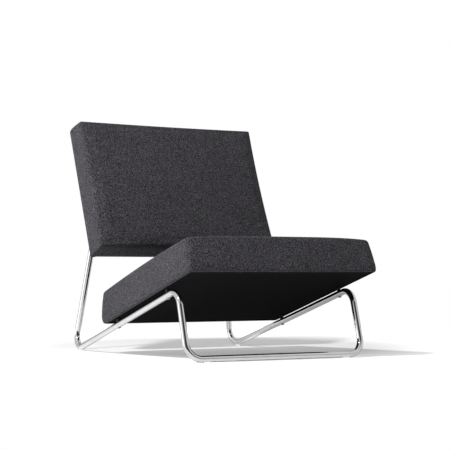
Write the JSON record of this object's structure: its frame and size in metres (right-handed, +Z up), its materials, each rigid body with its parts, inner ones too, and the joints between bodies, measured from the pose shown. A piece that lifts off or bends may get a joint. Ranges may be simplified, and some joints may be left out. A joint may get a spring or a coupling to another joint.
{
  "type": "lounge chair",
  "caption": "Armless cantilever lounge chair: a loop of bent chrome tube carries a thick felt seat pad and a reclined felt back pad.",
  "frame": {"origin": "centre of the chair's footprint on the floor, under the middle of its bounding box", "axes": "+Z up, +Y from the front of the seat to the rear, +X across, towards the sitter's left"},
  "size_m": [0.668, 0.887, 0.7763],
  "materials": {
    "chrome_tube": "polished",
    "sleeve_steel": "plain",
    "clear_glide": "frosted clear",
    "charcoal_felt": "melange wool felt",
    "foam": "open-cell foam",
    "birch_plywood": "sanded",
    "black_board": "black stain",
    "black_cloth": "plain woven lining",
    "dark_sleeve": "moulded",
    "plated_screw": "nickel plated",
    "insert_steel": "zinc plated"
  },
  "bodies": {
    "root": {"right_frame_tube": "chrome_tube", "left_frame_tube": "chrome_tube", "front_joint_spigot": "sleeve_steel", "top_joint_spigot": "sleeve_steel", "right_front_glide": "clear_glide", "left_front_glide": "clear_glide", "right_rear_glide": "clear_glide", "left_rear_glide": "clear_glide", "seat_cover": "charcoal_felt", "seat_foam": "foam", "seat_board": "birch_plywood", "seat_lining": "black_cloth", "seat_spacers": "dark_sleeve", "seat_saddle_washers": "plated_screw", "seat_screws": "plated_screw", "seat_threaded_inserts": "insert_steel", "back_cover": "charcoal_felt", "back_foam": "foam", "back_board": "black_board", "back_lining": "black_cloth", "back_spacers": "dark_sleeve", "back_saddle_washers": "plated_screw", "back_screws": "plated_screw", "back_threaded_inserts": "insert_steel"}
  },
  "joints": []
}
